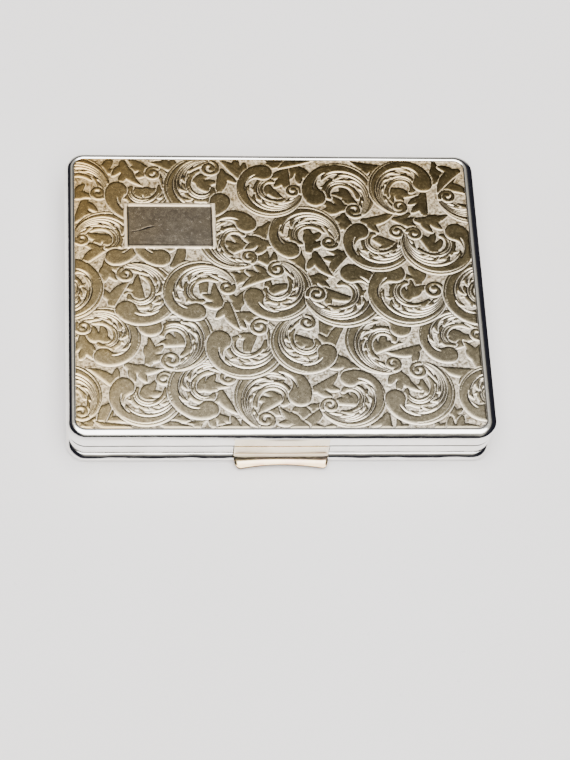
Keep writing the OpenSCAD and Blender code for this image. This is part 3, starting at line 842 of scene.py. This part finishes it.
def keeper_plate():
    """Plate over the catch, with rounded edges and a slight crown."""
    hw, n = (KEEPER_HI[0] - KEEPER_LO[0]) / 2, 48
    z0, z1 = KEEPER_LO[2], KEEPER_HI[2]
    y0, y1 = KEEPER_LO[1], KEEPER_HI[1]
    x = np.linspace(-hw, hw, n)
    z = np.linspace(z0, z1, 10)
    gx, gz = np.meshgrid(x, z)
    crown = 0.03 * ((gx / hw) ** 2 + (2 * (gz - z0) / (z1 - z0) - 1) ** 2)
    front = np.stack([gx, y0 + crown, gz], -1)
    back = np.stack([gx, np.full(gx.shape, y1), gz], -1)
    obj = sheet("keeper_plate_visual", front, back)
    bevel(obj, 0.08)
    return finish_piece(obj, CATCH_GILT, "lid", ["keeper_plate"])


def catch_plate():
    """Thumb plate: upright face, a fine groove over the bend, a roll, and a flared scalloped lip."""
    hw = (CATCH_HI[0] - CATCH_LO[0]) / 2
    face, thick = KEEPER_LO[1], KEEPER_HI[1] - KEEPER_LO[1]
    bend, lip_out = 3.0, face - CATCH_LO[1]
    scallop = 0.6
    x = np.linspace(-hw, hw, 75)
    corner = np.where(x < 0, 1.7, 1.1)
    over = np.clip(np.abs(x) - (hw - corner), 0, corner)
    reach = lip_out - scallop * (1 - np.clip(x / (hw - corner), -1, 1) ** 2)
    reach = reach - (corner - np.sqrt(corner ** 2 - over ** 2))
    reach = reach / lip_out
    droop = 0.22 * np.clip(x / hw, 0, 1) ** 3
    crown = 0.03 * (x / hw) ** 2
    rows_f, rows_b = [], []
    upright = [(0.0, z) for z in np.linspace(CATCH_HI[2], bend + 0.6, 8)]
    upright += [(-0.04, bend + 0.50), (-0.07, bend + 0.42), (-0.04, bend + 0.34), (0.0, bend + 0.24)]
    for dent, z in upright:
        rows_f.append(np.stack([x, face + crown - dent, np.full(x.shape, z)], -1))
        rows_b.append(np.stack([x, np.full(x.shape, face + thick), np.full(x.shape, z)], -1))
    lip = np.array(turned((0.0, 0.0), [(0, 27, 0.35), (29, 37, 0.95), (42, 54, 0.55),
                                       (58, 66, 0.75), (54, 38, 0.60)], 4))
    lip[:, 0] *= lip_out / lip[-1, 0]
    slope = np.gradient(lip, axis=0)
    facing = np.arctan2(slope[:, 0], -slope[:, 1])
    for k in range(len(lip)):
        t = k / (len(lip) - 1)
        y = face + crown * (1 - t) - lip[k, 0] * reach
        z = bend + lip[k, 1] * reach + droop * t
        rows_f.append(np.stack([x, y, z], -1))
        back_y = y + thick * math.cos(facing[k])
        back_z = np.maximum(z - thick * math.sin(facing[k]), 0.12)
        rows_b.append(np.stack([x, back_y, back_z], -1))
    obj = sheet("catch_plate_visual", np.array(rows_f), np.array(rows_b))
    bevel(obj, 0.05)
    return finish_piece(obj, CATCH_GILT, "catch", ["catch_plate"], sharp=45)


# ---------------------------------------------------------------- carried CAD nodes

def carry(names, material):
    for name in names:
        for slot in NODES[name].material_slots:
            slot.material = material


CARRIED_GILT = [
    "inner_frame_left", "inner_frame_right", "base_hinge_leaf", "lid_hinge_leaf",
    "catch_bracket", "catch_lever", "keeper_strip", "retainer_bracket_left",
    "retainer_bracket_right", "retainer_bar",
]
CARRIED_STEEL = [
    "hinge_pin", "catch_pin", "catch_spring", "retainer_pin_left", "retainer_pin_right",
    "retainer_spring_left", "retainer_spring_right",
]


# ---------------------------------------------------------------- stage, light and camera

def table():
    half = 1500
    obj = new_object("table", [(-half, -half, 0), (half, -half, 0), (half, half, 0),
                               (-half, half, 0)], [(0, 1, 2, 3)])
    obj.data.materials.append(TABLE)


def world():
    """One large soft light overhead, leaning a little to the front, in an otherwise dim room."""
    w = bpy.data.worlds.new("soft_light")
    w.use_nodes = True
    bpy.context.scene.world = w
    sky = Nodes(w.node_tree)
    towards = sky.add("ShaderNodeTexCoord").outputs["Generated"]
    x, y, z = sky.axes(towards)
    lean = math.radians(15)
    overhead = sky.add("ShaderNodeVectorMath", operation="DOT_PRODUCT")
    overhead.inputs[1].default_value = (0, -math.sin(lean), math.cos(lean))
    sky.set(overhead.inputs[0], towards)
    narrow = sky.add("ShaderNodeMath", operation="MULTIPLY_ADD")
    sky.set(narrow.inputs[0], sky.math("MULTIPLY", x, x))
    sky.set(narrow.inputs[1], -0.5)
    sky.set(narrow.inputs[2], overhead.outputs["Value"])
    ramp = sky.add("ShaderNodeValToRGB")
    sky.set(ramp.inputs[0], narrow.outputs[0])
    stops = [(0.25, (0.002, 0.002, 0.003)), (0.50, (0.006, 0.006, 0.007)),
             (0.60, (0.055, 0.053, 0.046)), (0.73, (0.10, 0.096, 0.088)), (0.785, (1, 1, 1))]
    for (_, colour), element in zip(stops, [ramp.color_ramp.elements.new(s) for s, _ in stops]):
        element.color = (*colour, 1)
    ramp.color_ramp.elements.remove(ramp.color_ramp.elements[0])
    ramp.color_ramp.elements.remove(ramp.color_ramp.elements[-1])

    # pale wall far behind the case, and pale surroundings below the table
    wall = sky.math("MULTIPLY", sky.spread(y, 0.72, 0.92), sky.spread(z, 0.60, 0.35))
    pale = sky.math("MAXIMUM", wall, sky.spread(z, -0.04, -0.20))
    room = sky.mix(pale, ramp.outputs["Color"], (0.085, 0.083, 0.080))
    background = w.node_tree.nodes["Background"]
    sky.set(background.inputs["Color"], room)
    background.inputs["Strength"].default_value = 8.4


def camera():
    """Camera where the photograph was taken, worked out from the case's corners."""
    azimuth, elevation, roll = (math.radians(a) for a in (9.34, 57.78, 7.92))
    forward = Vector((math.sin(azimuth) * math.cos(elevation),
                      math.cos(azimuth) * math.cos(elevation), -math.sin(elevation)))
    right = Vector((math.cos(azimuth), -math.sin(azimuth), 0))
    up = right.cross(forward)
    tilted_right = right * math.cos(roll) + up * math.sin(roll)
    tilted_up = up * math.cos(roll) - right * math.sin(roll)
    data = bpy.data.cameras.new("camera")
    data.lens = 3.694 * data.sensor_width
    data.clip_start = 0.01
    obj = bpy.data.objects.new("camera", data)
    bpy.context.scene.collection.objects.link(obj)
    turn = Matrix((tilted_right, tilted_up, -forward)).transposed().to_4x4()
    eye = Vector((-52.87, -351.1, 537.7)) * MM
    obj.matrix_world = Matrix.Translation(eye) @ turn
    bpy.context.scene.camera = obj


lid_frame()
base_shell()
engraved_plate()
lid_liner()
keeper_plate()
catch_plate()
carry(CARRIED_GILT, GILT)
carry(CARRIED_STEEL, STEEL)
table()
world()
camera()
